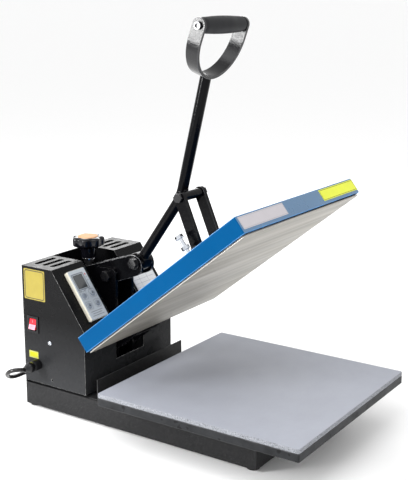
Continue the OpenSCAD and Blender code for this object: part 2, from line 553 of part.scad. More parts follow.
// -------------------------------------------------------------- labels
module cover_labels() color([0.92, 0.92, 0.92]) place() platen() union() {
    translate([-186.5, -cover_l - 0.35, 5.6]) cube([130, 0.35, 20.6]);
    translate([64.5, -cover_l - 0.35, 5.6]) cube([124, 0.35, 20.6]);
}
module side_labels() color([0.95, 0.85, 0.1]) place() union() {
    translate([-body_h2 - 0.3, 356, 201.6]) cube([0.3, 49, 56]);
    translate([-body_h2 - 0.3, 377, 91.2]) cube([0.3, 22, 13]);
}
module chart_label() color([0.85, 0.86, 0.87]) place() slope() translate([54, -104, 0]) cube([66, 86, 0.3]);

// ------------------------------------------------- inside the housing
module relay_block() color([0.2, 0.2, 0.22]) place() union() {
    translate([-112, 300, base_h]) cube([45, 58, 4]);
    translate([-108, 304, base_h + 4]) cube([37, 50, 24]);
}
module terminal_block() color([0.8, 0.78, 0.7]) place() union() {
    translate([66, 300, base_h]) cube([22, 70, 6]);
    for (i = [0:4]) translate([70, 304 + i * 13, base_h + 6]) cube([14, 10, 12]);
}

base_frame();
rubber_feet();
support_rails();
lower_plate();
silicone_pad();
heat_shield();
housing_shell();
rear_panel();
housing_screws();
sheet_screws();
upright_left();
upright_right();
upright_screws();
hinge_pin();
arm_pivot_bolt();
screw_rest();
pressure_arm();
pressure_screw();
pressure_knob();
knob_cap();
knob_washer();
lever_pivot_bolt();
lever_tube();
lever_hub();
knee_tube();
knee_bolt();
handle_bow();
handle_grip();
grip_bolt();
link_left();
link_right();
link_end_bolts();
platen_bracket();
bracket_bolts();
platen_cover();
heating_plate();
heating_element();
insulation_board();
hinge_arms();
platen_bolt();
controller_body();
controller_face();
display_window();
key_set();
key_down();
key_up();
key_menu();
status_lamp();
switch_frame();
switch_rocker();
cable_gland();
strain_relief();
mains_cord();
cord_coil();
mains_plug();
cover_labels();
side_labels();
chart_label();
relay_block();
terminal_block();
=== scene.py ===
import math

import bmesh
import bpy
from mathutils import Matrix, Vector


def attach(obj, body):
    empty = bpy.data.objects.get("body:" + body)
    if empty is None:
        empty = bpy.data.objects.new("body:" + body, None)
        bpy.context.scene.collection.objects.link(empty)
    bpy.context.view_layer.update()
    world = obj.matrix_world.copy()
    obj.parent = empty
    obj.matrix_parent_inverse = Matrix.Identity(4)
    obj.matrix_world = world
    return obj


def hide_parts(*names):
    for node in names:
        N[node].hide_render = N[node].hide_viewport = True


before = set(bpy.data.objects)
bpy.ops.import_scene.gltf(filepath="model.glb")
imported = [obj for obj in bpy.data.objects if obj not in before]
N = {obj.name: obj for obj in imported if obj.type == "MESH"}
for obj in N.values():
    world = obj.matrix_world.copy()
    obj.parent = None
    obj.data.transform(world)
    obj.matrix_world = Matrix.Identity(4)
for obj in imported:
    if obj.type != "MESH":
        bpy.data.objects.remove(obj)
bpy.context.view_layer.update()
scene = bpy.context.scene
scene.view_settings.view_transform = "Standard"
scene.view_settings.look = "None"

YC, FOOT = 110.7, 4.0


def D(x, y, z):
    """A point of the drawing frame, in mm, as a point of the row frame, in metres."""
    return Vector((x / 1000, (y - YC) / 1000, (z + FOOT) / 1000))


def place(y, z, tilt):
    """A tilted local frame in mm, as a matrix to the row frame in metres."""
    return Matrix.Translation(D(0, y, z)) @ Matrix.Rotation(math.radians(tilt), 4, "X") @ Matrix.Scale(0.001, 4)


SLOPE_A = math.degrees(math.atan2(339.7 - 267.6, 262.5 - 160.8))
SLOPE = place(339.7, 262.5, 90 - SLOPE_A)
PLATEN = place(210.4, 155.1, -38.7)
ROW = place(0, 0, 0)
BODY_H2 = 128.6
SIDE = Matrix.Translation(D(-BODY_H2, 0, 0)) @ Matrix(((0, 0, -0.001, 0), (-0.001, 0, 0, 0), (0, 0.001, 0, 0), (0, 0, 0, 1)))

# ------------------------------------------------------------------ camera
AZ, EL, ROLL = math.radians(-56.261), math.radians(13.617), math.radians(0.136)
back = Vector((math.sin(AZ) * math.cos(EL), -math.cos(AZ) * math.cos(EL), math.sin(EL)))
right = Vector((0, 0, 1)).cross(back).normalized()
upv = back.cross(right).normalized()
cam_data = bpy.data.cameras.new("camera")
cam_data.sensor_width = 36
cam_data.lens = 996.5 * 36 / 480
cam_data.clip_start, cam_data.clip_end = 0.05, 2000
cam = bpy.data.objects.new("camera", cam_data)
scene.collection.objects.link(cam)
turn = Matrix((right, upv, back)).transposed().to_4x4()
cam.matrix_world = Matrix.Translation((-1.3765, -0.9260, 0.7288)) @ turn @ Matrix.Rotation(ROLL, 4, "Z")
scene.camera = cam


# --------------------------------------------------------------- materials
def link(nt, a, b):
    nt.links.new(a, b)


def material(name, color, rough, metal=0.0, spec=0.5, coat=0.0, coat_rough=0.06, var=0.08, var_scale=14.0,
             rough_var=0.06, rough_scale=45.0, bumps=(), specks=(), stretch=(1, 1, 1), tint=None, ior=1.5, painted_bounce=None):
    """A Principled material with mottled colour, uneven roughness, bumps and specks, and optionally a lighter colour
    towards the bottom as painted bounce light, all from object coordinates.
    """
    m = bpy.data.materials.new(name)
    m.use_nodes = True
    nt = m.node_tree
    bs = nt.nodes["Principled BSDF"]
    bs.inputs["Metallic"].default_value = metal
    bs.inputs["Specular IOR Level"].default_value = spec
    bs.inputs["Coat Weight"].default_value = coat
    bs.inputs["Coat Roughness"].default_value = coat_rough
    bs.inputs["IOR"].default_value = ior
    tc = nt.nodes.new("ShaderNodeTexCoord")
    mp = nt.nodes.new("ShaderNodeMapping")
    mp.inputs["Scale"].default_value = stretch
    link(nt, tc.outputs["Object"], mp.inputs["Vector"])
    vec = mp.outputs["Vector"]
    plain = tc.outputs["Object"]
    # colour mottling
    n1 = nt.nodes.new("ShaderNodeTexNoise")
    n1.inputs["Scale"].default_value = var_scale
    n1.inputs["Detail"].default_value = 6
    n1.inputs["Roughness"].default_value = 0.6
    link(nt, vec, n1.inputs["Vector"])
    r1 = nt.nodes.new("ShaderNodeValToRGB")
    lo = [max(0.0, c * (1 - var)) for c in color]
    hi = [min(1.0, c * (1 + var)) for c in (tint or color)]
    r1.color_ramp.elements[0].position, r1.color_ramp.elements[0].color = 0.32, (*lo, 1)
    r1.color_ramp.elements[1].position, r1.color_ramp.elements[1].color = 0.68, (*hi, 1)
    link(nt, n1.outputs["Fac"], r1.inputs["Fac"])
    col = r1.outputs["Color"]
    for s_col, s_scale, s_at, s_soft in specks:
        ns = nt.nodes.new("ShaderNodeTexNoise")
        ns.inputs["Scale"].default_value = s_scale
        ns.inputs["Detail"].default_value = 2
        link(nt, plain, ns.inputs["Vector"])
        mr = nt.nodes.new("ShaderNodeMapRange")
        mr.inputs["From Min"].default_value = s_at
        mr.inputs["From Max"].default_value = s_at + s_soft
        link(nt, ns.outputs["Fac"], mr.inputs["Value"])
        mx = nt.nodes.new("ShaderNodeMix")
        mx.data_type = "RGBA"
        link(nt, mr.outputs["Result"], mx.inputs["Factor"])
        link(nt, col, mx.inputs["A"])
        mx.inputs["B"].default_value = (*s_col, 1)
        col = mx.outputs["Result"]
    # painted bounce light: lower down, the colour blends towards a lighter one, standing in for light thrown up from
    # the floor
    if painted_bounce is not None:
        bounce_col, l_top, l_bottom = painted_bounce
        sep = nt.nodes.new("ShaderNodeSeparateXYZ")
        link(nt, plain, sep.inputs["Vector"])
        mr = nt.nodes.new("ShaderNodeMapRange")
        mr.inputs["From Min"].default_value, mr.inputs["From Max"].default_value = l_top, l_bottom
        link(nt, sep.outputs["Z"], mr.inputs["Value"])
        mx = nt.nodes.new("ShaderNodeMix")
        mx.data_type = "RGBA"
        link(nt, mr.outputs["Result"], mx.inputs["Factor"])
        link(nt, col, mx.inputs["A"])
        mx.inputs["B"].default_value = (*bounce_col, 1)
        col = mx.outputs["Result"]
    link(nt, col, bs.inputs["Base Color"])
    # uneven roughness
    n2 = nt.nodes.new("ShaderNodeTexNoise")
    n2.inputs["Scale"].default_value = rough_scale
    n2.inputs["Detail"].default_value = 5
    link(nt, vec, n2.inputs["Vector"])
    m2 = nt.nodes.new("ShaderNodeMapRange")
    m2.inputs["From Min"].default_value, m2.inputs["From Max"].default_value = 0.3, 0.7
    m2.inputs["To Min"].default_value, m2.inputs["To Max"].default_value = max(0.02, rough - rough_var), min(1.0, rough + rough_var)
    link(nt, n2.outputs["Fac"], m2.inputs["Value"])
    link(nt, m2.outputs["Result"], bs.inputs["Roughness"])
    last = None
    for kind, scale, strength, dist in bumps:
        if kind == "cells":
            t = nt.nodes.new("ShaderNodeTexVoronoi")
            t.feature = "SMOOTH_F1"
            t.inputs["Scale"].default_value = scale
            t.inputs["Smoothness"].default_value = 0.6
            out = t.outputs["Distance"]
        else:
            t = nt.nodes.new("ShaderNodeTexNoise")
            t.inputs["Scale"].default_value = scale
            t.inputs["Detail"].default_value = 4
            out = t.outputs["Fac"]
        link(nt, vec if kind == "streak" else plain, t.inputs["Vector"])
        b = nt.nodes.new("ShaderNodeBump")
        b.inputs["Strength"].default_value = strength
        b.inputs["Distance"].default_value = dist
        link(nt, out, b.inputs["Height"])
        if last is not None:
            link(nt, last, b.inputs["Normal"])
        last = b.outputs["Normal"]
    if last is not None:
        link(nt, last, bs.inputs["Normal"])
        if coat > 0:
            link(nt, last, bs.inputs["Coat Normal"])
    return m


HAMMER = [("noise", 200, 0.26, 0.0010), ("noise", 900, 0.08, 0.0003)]
M = {}
M["base"] = material("base_powder_coat", (0.019, 0.019, 0.020), 0.42, spec=0.15, var=0.25, var_scale=260, bumps=[("noise", 700, 0.3, 0.0005)], specks=[((0.075, 0.075, 0.075), 1100, 0.62, 0.05), ((0.005, 0.005, 0.005), 800, 0.64, 0.04)])
# the *_edge materials go on bevel faces and are lighter than their paint: worn edges with a painted highlight along
# them
M["base_edge"] = material("base_worn_edge_painted_highlight", (0.030, 0.030, 0.031), 0.4, spec=0.25, var=0.6, var_scale=60, bumps=[("noise", 500, 0.2, 0.0003)])
# housing: its walls turn lighter towards the bottom, painted bounce light from the floor
M["housing"] = material("housing_texture_coat_painted_bounce", (0.0035, 0.0035, 0.004), 0.28, spec=0.09, var=0.15, var_scale=180, rough_var=0.06, bumps=[("noise", 520, 0.24, 0.0006), ("noise", 1400, 0.12, 0.0002)], painted_bounce=((0.034, 0.035, 0.037), 0.175, 0.045))
M["housing_edge"] = material("housing_worn_edge_painted_highlight", (0.36, 0.36, 0.35), 0.3, spec=0.6, var=0.95, var_scale=130, bumps=[("noise", 400, 0.4, 0.0005)])
M["gloss"] = material("black_hammered_gloss", (0.0024, 0.0024, 0.0030), 0.12, spec=0.10, coat=0.0, rough_var=0.04, bumps=HAMMER)
M["gloss_edge"] = material("black_gloss_edge", (0.045, 0.045, 0.047), 0.14, spec=0.7, var=0.8, var_scale=120, rough_var=0.04, bumps=[("noise", 300, 0.2, 0.0004)])
M["bow"] = material("bow_hammered_gloss", (0.003, 0.003, 0.004), 0.14, spec=0.36, rough_var=0.06, bumps=[("noise", 420, 0.5, 0.0007), ("noise", 900, 0.15, 0.0003)])
M["arm_edge"] = material("arm_worn_edge_painted_highlight", (0.42, 0.42, 0.43), 0.22, spec=0.8, var=0.7, var_scale=150, rough_var=0.05, bumps=[("noise", 300, 0.3, 0.0004)])
M["blue"] = material("blue_stoved_enamel", (0.0006, 0.064, 0.186), 0.34, spec=0.025, var=0.05, var_scale=9, rough_var=0.05, bumps=[("noise", 700, 0.08, 0.0003), ("noise", 60, 0.03, 0.001)])
# blue_edge: a lighter blue on the cover's bevels, a painted highlight
M["blue_edge"] = material("blue_enamel_painted_highlight_edge", (0.05, 0.21, 0.47), 0.3, spec=0.5, var=0.3, var_scale=60)
# blue_front_painted_sheen: a lighter, greyer copy of the blue for the cover's front face, a painted sheen
M["blue_front_painted_sheen"] = material("blue_enamel_front_painted_sheen", (0.078, 0.165, 0.285), 0.30, spec=0.5, var=0.07, var_scale=14, rough_var=0.05, bumps=[("noise", 700, 0.10, 0.0003), ("noise", 60, 0.03, 0.001)])
M["rubber"] = material("black_rubber", (0.012, 0.012, 0.012), 0.62, spec=0.35, bumps=[("noise", 700, 0.3, 0.0004)])
M["plate"] = material("lower_plate_coat", (0.021, 0.022, 0.024), 0.45, spec=0.15, var=0.4, var_scale=30, bumps=[("noise", 800, 0.2, 0.0003)], specks=[((0.006, 0.006, 0.007), 60, 0.62, 0.03)])
M["plate_edge"] = material("lower_plate_edge", (0.045, 0.045, 0.047), 0.42, spec=0.3, var=0.7, var_scale=50)
M["silicone"] = material("silicone_foam", (0.335, 0.350, 0.400), 0.6, spec=0.25, var=0.03, var_scale=22, rough_var=0.05, bumps=[("noise", 1300, 0.25, 0.0003), ("noise", 45, 0.02, 0.001)], specks=[((0.27, 0.28, 0.32), 1700, 0.66, 0.05)])
M["silicone_side"] = material("silicone_cut_edge", (0.27, 0.28, 0.305), 0.8, spec=0.2, var=0.35, var_scale=420, bumps=[("cells", 600, 0.9, 0.0009)], specks=[((0.05, 0.05, 0.055), 750, 0.62, 0.05)])
M["alu"] = material("milled_aluminium", (0.46, 0.44, 0.41), 0.34, metal=0.85, stretch=(4, 260, 260), var=0.12, var_scale=3, rough_var=0.1, rough_scale=3, bumps=[("streak", 3, 0.12, 0.0004)])
M["alu_face"] = material("coated_aluminium_face", (0.31, 0.292, 0.252), 0.42, metal=0.45, stretch=(0.35, 9, 9), var=0.18, var_scale=5, rough_var=0.1, rough_scale=8, bumps=[("streak", 40, 0.06, 0.0005), ("noise", 35, 0.03, 0.001)], tint=(0.35, 0.33, 0.288))
M["zinc"] = material("bright_zinc", (0.66, 0.69, 0.74), 0.2, metal=1.0, var=0.1, var_scale=90, rough_var=0.08, rough_scale=200, bumps=[("noise", 500, 0.06, 0.0002)])
M["steel"] = material("blackened_steel", (0.10, 0.10, 0.105), 0.3, metal=0.9, var=0.25, var_scale=90, rough_var=0.08, bumps=[("noise", 500, 0.1, 0.0002)])
M["steel_black"] = material("painted_fastener", (0.007, 0.007, 0.008), 0.16, spec=0.5, coat=0.2, rough_var=0.05, bumps=[("noise", 420, 0.25, 0.0004)])
M["chrome"] = material("polished_chrome", (0.8, 0.8, 0.82), 0.08, metal=1.0, var=0.04, rough_var=0.03, bumps=[("noise", 300, 0.03, 0.0002)])
M["knob"] = material("knob_phenolic", (0.004, 0.004, 0.006), 0.1, spec=0.3, coat=0.0, rough_var=0.03, bumps=[("noise", 120, 0.04, 0.0004)])
M["cap"] = material("knob_cap_plastic", (0.62, 0.345, 0.185), 0.58, spec=0.08, var=0.04, var_scale=30, bumps=[("noise", 900, 0.12, 0.0002)], tint=(0.64, 0.39, 0.235))
M["grip"] = material("grip_rubber", (0.011, 0.0115, 0.013), 0.5, spec=0.2, var=0.15, var_scale=60, bumps=[("noise", 800, 0.2, 0.0003)])
M["cream"] = material("controller_cream_plastic", (0.74, 0.70, 0.58), 0.38, spec=0.45, var=0.04, var_scale=40, bumps=[("noise", 900, 0.1, 0.0002)])
M["silver"] = material("controller_silver_film", (0.53, 0.565, 0.59), 0.34, metal=0.2, spec=0.4, var=0.06, var_scale=120, bumps=[("noise", 1500, 0.08, 0.0001)])
M["lcd"] = material("display_glass", (0.05, 0.055, 0.057), 0.16, spec=0.6, coat=0.3, var=0.12, var_scale=45)
M["lcd_frame"] = material("display_frame_print", (0.16, 0.175, 0.19), 0.4, spec=0.4, var=0.06)
M["key"] = material("key_membrane", (0.27, 0.30, 0.335), 0.42, spec=0.45, var=0.06, var_scale=90, bumps=[("noise", 900, 0.1, 0.0002)])
M["print"] = material("dark_print", (0.05, 0.055, 0.065), 0.5, spec=0.3, var=0.15, var_scale=200)
M["lamp"] = material("red_lamp_lens", (0.62, 0.02, 0.015), 0.15, spec=0.6, coat=0.4, var=0.1, var_scale=400)
M["rocker"] = material("red_rocker_plastic", (0.66, 0.010, 0.026), 0.16, spec=0.5, coat=0.35, coat_rough=0.06, var=0.08, var_scale=60, bumps=[("noise", 300, 0.04, 0.0003)])
M["mark"] = material("faded_mark", (0.55, 0.16, 0.18), 0.4, spec=0.3, var=0.04)
# rocker_painted_reflection: a pinkish-white copy of the red for the rocker's lower face, a painted reflection
M["rocker_painted_reflection"] = material("red_rocker_painted_reflection_face", (0.66, 0.30, 0.37), 0.16, spec=0.5, coat=0.35, coat_rough=0.06, var=0.25, var_scale=160, bumps=[("noise", 300, 0.04, 0.0003)])
M["black_plastic"] = material("black_moulded_plastic", (0.006, 0.006, 0.007), 0.3, spec=0.2, rough_var=0.06, bumps=[("noise", 900, 0.18, 0.0003)])
M["relief"] = material("glossy_gland_nut", (0.004, 0.004, 0.005), 0.12, spec=0.4, coat=0.3, rough_var=0.04, bumps=[("noise", 260, 0.12, 0.0005)])
M["cord"] = material("cord_sheath", (0.010, 0.009, 0.009), 0.2, spec=0.45, rough_var=0.05, bumps=[("noise", 600, 0.1, 0.0002)])
# the yellow, lemon and white label films are darker than the films' own colours: painted shade
M["yellow"] = material("yellow_label_film", (0.45, 0.45, 0.012), 0.36, spec=0.15, var=0.05, var_scale=40, bumps=[("noise", 110, 0.05, 0.0005)])
M["lemon"] = material("lemon_label_film", (0.31, 0.25, 0.045), 0.36, spec=0.2, var=0.07, var_scale=40, bumps=[("noise", 110, 0.05, 0.0005)])
M["lime"] = material("lime_label_film", (0.70, 0.75, 0.055), 0.38, spec=0.2, var=0.04, var_scale=40, bumps=[("noise", 110, 0.05, 0.0005)])
M["white"] = material("white_label_film", (0.48, 0.455, 0.48), 0.36, spec=0.3, var=0.03, var_scale=40, bumps=[("noise", 110, 0.05, 0.0005)])
M["chart"] = material("chart_label_film", (0.86, 0.85, 0.83), 0.36, spec=0.4, var=0.03, var_scale=40, bumps=[("noise", 110, 0.05, 0.0005)])
M["rule"] = material("label_rule_print", (0.02, 0.018, 0.02), 0.5, spec=0.3, var=0.2, var_scale=300)
M["rule_soft"] = material("label_rule_print_soft", (0.30, 0.31, 0.33), 0.5, spec=0.3, var=0.15, var_scale=300)
M["board"] = material("insulating_board", (0.62, 0.58, 0.48), 0.9, spec=0.2, var=0.12, var_scale=60, bumps=[("noise", 300, 0.4, 0.001)])
M["element"] = material("oxidised_sheath", (0.25, 0.17, 0.12), 0.5, metal=0.8, var=0.4, var_scale=60, bumps=[("noise", 400, 0.2, 0.0003)])
M["moulded"] = material("electrical_moulding", (0.10, 0.10, 0.11), 0.5, spec=0.4, var=0.1, bumps=[("noise", 600, 0.2, 0.0003)])
M["terminal"] = material("terminal_moulding", (0.72, 0.69, 0.60), 0.5, spec=0.4, var=0.08, bumps=[("noise", 600, 0.15, 0.0003)])


# -------------------------------------------------------------- mesh tools
def add_object(name, verts, faces, mats, index=None, sharp=32):
    me = bpy.data.meshes.new(name)
    me.from_pydata([tuple(v) for v in verts], [], faces)
    me.validate()
    for m in mats:
        me.materials.append(M[m])
    if index is not None:
        for p, i in zip(me.polygons, index):
            p.material_index = i
    me.shade_smooth()
    me.set_sharp_from_angle(angle=math.radians(sharp))
    ob = bpy.data.objects.new(name, me)
    scene.collection.objects.link(ob)
    return ob


def bevel(ob, width, seg=3, edge=-1, angle=32):
    b = ob.modifiers.new("bevel", "BEVEL")
    b.width = width
    b.segments = seg
    b.limit_method = "ANGLE"
    b.angle_limit = math.radians(angle)
    b.harden_normals = True
    b.use_clamp_overlap = True
    b.material = edge
    return ob


def clean(node, dissolve=True):
    """The CAD node's own surface as a bmesh with shared corners and whole flat faces."""
    src = N[node]
    bm = bmesh.new()
    bm.from_mesh(src.data)
    bm.transform(src.matrix_world)
    bmesh.ops.remove_doubles(bm, verts=bm.verts, dist=3e-6)
    if dissolve:
        bmesh.ops.dissolve_limit(bm, angle_limit=math.radians(0.5), use_dissolve_boundaries=False, verts=bm.verts, edges=bm.edges)
    bm.normal_update()
    return bm


def dress(node, body, mats, width=0.0006, seg=3, choose=None, dissolve=True, sharp=32, keep=None, name=None, more=()):
    """The CAD node's surface with rounded edges, in the place of the plain node; with two or more materials and no
    choose, the last one goes on the bevels (the *_edge materials: worn edges with a painted highlight).
    """
    bm = clean(node, dissolve)
    if keep is not None:
        gone = [f for f in bm.faces if not keep(f.calc_center_median())]
        bmesh.ops.delete(bm, geom=gone, context="FACES")
    verts = [v.co.copy() for v in bm.verts]
    bm.verts.index_update()
    faces, index = [], []
    for f in bm.faces:
        faces.append([v.index for v in f.verts])
        index.append(choose(f.calc_center_median(), f.normal) if choose else 0)
    bm.free()
    ob = add_object(name or ("vis_" + node), verts, faces, mats, index, sharp)
    # the last material goes on the bevels: worn edges with a painted highlight
    edge = len(mats) - 1 if len(mats) > 1 and choose is None else -1
    if width:
        bevel(ob, width, seg, edge)
    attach(ob, body)
    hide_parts(node, *more)
    return ob


def repaint(node, mat):
    """A node whose shape is kept as it is."""
    me = N[node].data
    me.materials.clear()
    me.materials.append(M[mat])


def rr(w, h, r, n=6):
    """Points of a rounded rectangle, counter-clockwise."""
    pts = []
    for cx, cy, a in ((w / 2 - r, h / 2 - r, 0), (-w / 2 + r, h / 2 - r, 90), (-w / 2 + r, -h / 2 + r, 180), (w / 2 - r, -h / 2 + r, 270)):
        for i in range(n + 1):
            t = math.radians(a + 90 * i / n)
            pts.append((cx + r * math.cos(t), cy + r * math.sin(t)))
    return pts


class Build:
    """Collects solids in a local frame in mm, then makes one object."""

    def __init__(self, mat_names):
        self.v, self.f, self.i, self.mats = [], [], [], list(mat_names)

    def prism(self, pts, z0, z1, m, top=None, taper=0.0):
        k = len(self.v)
        n = len(pts)
        cx = sum(p[0] for p in pts) / n
        cy = sum(p[1] for p in pts) / n
        def pull(p, d):
            x, y = p[0] - cx, p[1] - cy
            s = max(0.0, 1 - d / max(1e-6, math.hypot(x, y)))
            return cx + x * s, cy + y * s
        self.v += [(p[0], p[1], z0) for p in pts] + [(*pull(p, taper), z1) for p in pts]
        self.f.append([k + j for j in reversed(range(n))])
        self.i.append(self.mats.index(m))
        self.f.append([k + n + j for j in range(n)])
        self.i.append(self.mats.index(top or m))
        for j in range(n):
            a, b = k + j, k + (j + 1) % n
            self.f.append([a, b, b + n, a + n])
            self.i.append(self.mats.index(m))

    def box(self, x0, x1, y0, y1, z0, z1, m):
        self.prism([(x0, y0), (x1, y0), (x1, y1), (x0, y1)], z0, z1, m)

    def ring(self, outer, inner, z0, z1, m):
        k, n = len(self.v), len(outer)
        for pts, z in ((outer, z0), (outer, z1), (inner, z1), (inner, z0)):
            self.v += [(p[0], p[1], z) for p in pts]
        for s in range(4):
            for j in range(n):
                a, b = k + s * n + j, k + s * n + (j + 1) % n
                c, d = k + ((s + 1) % 4) * n + (j + 1) % n, k + ((s + 1) % 4) * n + j
                self.f.append([a, b, c, d])
                self.i.append(self.mats.index(m))

    def lathe(self, prof, m, n=48, cx=0.0, cy=0.0, squeeze=None):
        """prof: (radius, z) from the lowest to the highest, closed at both ends on the axis."""
        k = len(self.v)
        for r, z in prof:
            for j in range(n):
                t = 2 * math.pi * j / n
                s = squeeze(t, r, z) if squeeze else 0
                self.v.append((cx + (r + s) * math.cos(t), cy + (r + s) * math.sin(t), z))
        for q in range(len(prof) - 1):
            for j in range(n):
                a, b = k + q * n + j, k + q * n + (j + 1) % n
                self.f.append([a, b, b + n, a + n])
                self.i.append(self.mats.index(m))
        self.f.append([k + j for j in reversed(range(n))])
        self.f.append([k + (len(prof) - 1) * n + j for j in range(n)])
        self.i += [self.mats.index(m)] * 2

    def make(self, name, mat4, body, slot, replaces=(), width=0.0, seg=2, sharp=32):
        ob = add_object(name, [mat4 @ Vector(v) for v in self.v], self.f, self.mats, self.i, sharp)
        if width:
            bevel(ob, width, seg)
        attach(ob, body)
        if replaces:
            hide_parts(*replaces)
        return ob


def shift(pts, x, y):
    return [(p[0] + x, p[1] + y) for p in pts]


# -------------------------------------------------------------------- cord
R_CORD = 3.8
route = [[-164.6, 378.5, 81], [-170, 379.2, 82.6], [-176, 382, 83.8], [-180.8, 387.2, 83.4], [-182.8, 394, 80.8], [-182, 401, 76.4],
         [-178.4, 407.4, 70.8], [-172, 412, 65], [-163, 414.8, 59.8], [-152, 416.2, 56.6], [-140, 417.2, 55], [-127, 418.8, 54], [-114, 421.4, 51.6], [-101, 424.6, 47.4],
         [-87, 428.2, 41], [-72, 431.6, 32.4], [-57, 434.6, 23], [-42, 436.9, 14], [-27, 438.4, 6.6], [-12, 439, 1.8], [4, 439.2, 0], [20, 439.2, 0], [36, 439.2, 0]]
coil_x, coil_y = 47.0, 486.0
slots = [(46.8, 0.0), (39.2, 0.0), (39.2, 7.6), (46.8, 7.6), (46.8, 15.2)]


def ease(t):
    return t * t * (3 - 2 * t)


for k in range(5):
    for j in range(24):
        u = j / 24
        r, z = slots[k]
        if k < 4 and u > 0.80:
            e = ease((u - 0.80) / 0.20)
            r, z = r + (slots[k + 1][0] - r) * e, z + (slots[k + 1][1] - z) * e
        a = math.radians(-90 + 360 * u)
        route.append([coil_x + r * math.cos(a), coil_y + r * math.sin(a), z])
route += [[coil_x, 439.2, 15.2], [54, 439.5, 15.1], [62, 439.9, 14.9], [70, 440, 14.7], [78, 440, 14.6], [85.5, 440, 14.6]]
curve = bpy.data.curves.new("mains_cord_curve", "CURVE")
curve.dimensions = "3D"
curve.bevel_depth = R_CORD / 1000
curve.bevel_resolution = 5
curve.resolution_u = 6
curve.use_fill_caps = True
sp = curve.splines.new("BEZIER")
sp.bezier_points.add(len(route) - 1)
pts = [D(*p) for p in route]
for i, (bp, p) in enumerate(zip(sp.bezier_points, pts)):
    bp.co = p
    a, b = pts[max(0, i - 1)], pts[min(len(pts) - 1, i + 1)]
    t = (b - a).normalized()
    bp.handle_left_type = bp.handle_right_type = "FREE"
    bp.handle_left = p - t * ((p - a).length / 3)
    bp.handle_right = p + t * ((b - p).length / 3)
curve.materials.append(M["cord"])
cord = bpy.data.objects.new("vis_mains_cord", curve)
scene.collection.objects.link(cord)
for i in range(len(pts) - 1):
    a, b = sp.bezier_points[i], sp.bezier_points[i + 1]
    q = a.co.copy()
    for j in range(1, 9):
        t = j / 8
        w = a.co * (1 - t) ** 3 + a.handle_right * 3 * t * (1 - t) ** 2 + b.handle_left * 3 * t * t * (1 - t) + b.co * t ** 3
        q = w
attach(cord, "frame")
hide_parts("mains_cord", "cord_coil")

plug = dress("mains_plug", "frame", ["black_plastic"], 0.0012, 3)
dress("strain_relief", "frame", ["relief"], 0.0007, 3)

# -------------------------------------------------------------------- base
dress("base_frame", "frame", ["base", "base_edge"], 0.0014, 3)
dress("rubber_feet", "frame", ["rubber"], 0.0006, 2)
dress("support_rails", "frame", ["base"], 0.0008, 2)
dress("heat_shield", "frame", ["base", "base_edge"], 0.0005, 2)
dress("lower_plate", "frame", ["plate", "plate_edge"], 0.0007, 2)


def pad_face(c, n):
    return 0 if abs(n.z) > 0.7 else 1


pad = dress("silicone_pad", "frame", ["silicone", "silicone_side"], 0.0016, 3, choose=pad_face)

# ----------------------------------------------------------------- housing
dress("housing_shell", "frame", ["housing", "housing_edge"], 0.0012, 3)
dress("rear_panel", "frame", ["housing", "housing_edge"], 0.0004, 2)
dress("switch_frame", "frame", ["black_plastic"], 0.0006, 2)
dress("cable_gland", "frame", ["black_plastic"], 0.0006, 2)
dress("sheet_screws", "frame", ["steel_black"], 0.0003, 2)


def screw_head(b, r, h, m, cx=0.0, cy=0.0, slots=2):
    """A domed head."""
    prof = [(r * 0.93, 0), (r, h * 0.18), (r * 0.97, h * 0.45), (r * 0.82, h * 0.75), (r * 0.55, h * 0.94), (r * 0.25, h)]
    b.lathe(prof, m, 40, cx, cy)


b = Build(["zinc", "rule"])
screw_head(b, 4.2, 2.5, "zinc")
for w, h in ((4.4, 0.9), (0.9, 4.4)):
    b.prism([(-w / 2, -h / 2), (w / 2, -h / 2), (w / 2, h / 2), (-w / 2, h / 2)], 1.2, 2.56, "rule")
left = b.make("vis_housing_screws", SIDE @ Matrix.Translation((-348, 126.6, 0)), "frame", "zinc", ["housing_screws"], 0.0)
rs = left.data.copy()
for v in rs.vertices:
    v.co.x = -v.co.x
rs.flip_normals()
other = bpy.data.objects.new("vis_housing_screw_right", rs)
scene.collection.objects.link(other)
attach(other, "frame")

# labels on the left wall: blank films with a printed border
b = Build(["lemon", "rule"])
b.prism(rr(49, 56, 1.6), 0.0, 0.28, "lemon")
b.ring(rr(45.4, 52.4, 4.5), rr(42.6, 49.6, 3.4), 0.2, 0.33, "rule")
b.make("vis_side_label_large", SIDE @ Matrix.Translation((-380.5, 229.6, 0)), "frame", "label_film", ["side_labels"])
b = Build(["yellow", "rule_soft"])
b.prism(rr(22, 13, 1.0), 0.0, 0.28, "yellow")
b.ring(rr(20.6, 11.6, 1.6), rr(19.4, 10.4, 1.2), 0.2, 0.33, "rule_soft")
b.make("vis_side_label_small", SIDE @ Matrix.Translation((-388, 97.7, 0)), "frame", "label_film")

# chart label on the right slope: blank ruled table
b = Build(["chart", "rule_soft"])
b.prism(rr(66, 86, 0.8), 0.0, 0.26, "chart")
b.ring(rr(62, 82, 1.0), rr(61.2, 81.2, 0.8), 0.2, 0.32, "rule_soft")
for i in range(1, 10):
    b.box(-30.6, 30.6, 40.6 - 8.1 * i - 0.2, 40.6 - 8.1 * i + 0.2, 0.2, 0.32, "rule_soft")
for x in (-14, 9):
    b.box(x - 0.2, x + 0.2, -40.6, 32.5, 0.2, 0.32, "rule_soft")
b.make("vis_chart_label", SLOPE @ Matrix.Translation((87, -61, 0)), "frame", "chart_film", ["chart_label"])

